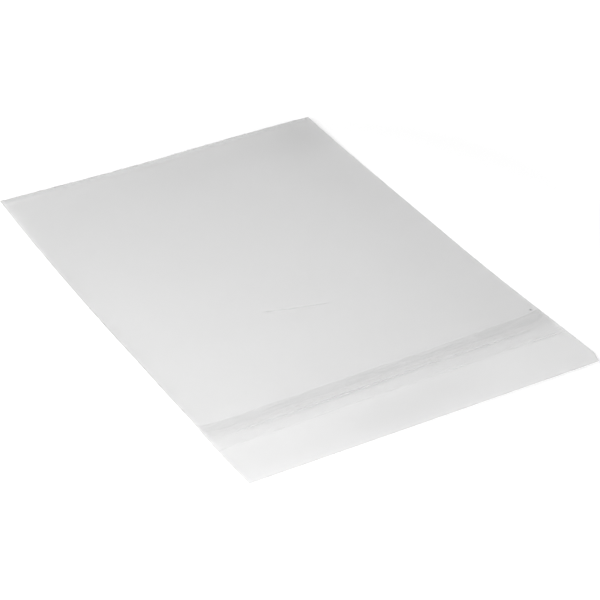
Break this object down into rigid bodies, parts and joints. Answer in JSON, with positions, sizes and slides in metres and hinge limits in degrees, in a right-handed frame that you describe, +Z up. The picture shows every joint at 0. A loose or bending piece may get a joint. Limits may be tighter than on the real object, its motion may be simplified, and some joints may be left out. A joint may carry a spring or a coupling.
{
  "type": "clear self-seal poly bag",
  "caption": "Flat clear poly bag with a bottom fold, welded sides, a long open flap and an adhesive strip under a clear release liner.",
  "frame": {"origin": "on the floor, under the middle of the bag's outline", "axes": "+X across the width, +Y from the flap's free edge to the bottom fold, +Z up, out of the front panel"},
  "size_m": [0.225, 0.345, 0.007],
  "materials": {
    "film": "clear blown polyethylene film, glossy and a little hazy",
    "adhesive": "clear pressure-sensitive adhesive, streaky where it wets the film",
    "liner": "clear smooth release film"
  },
  "bodies": {
    "root": {"bag_film": "film", "adhesive_strip": "adhesive", "release_liner": "liner"}
  },
  "joints": []
}
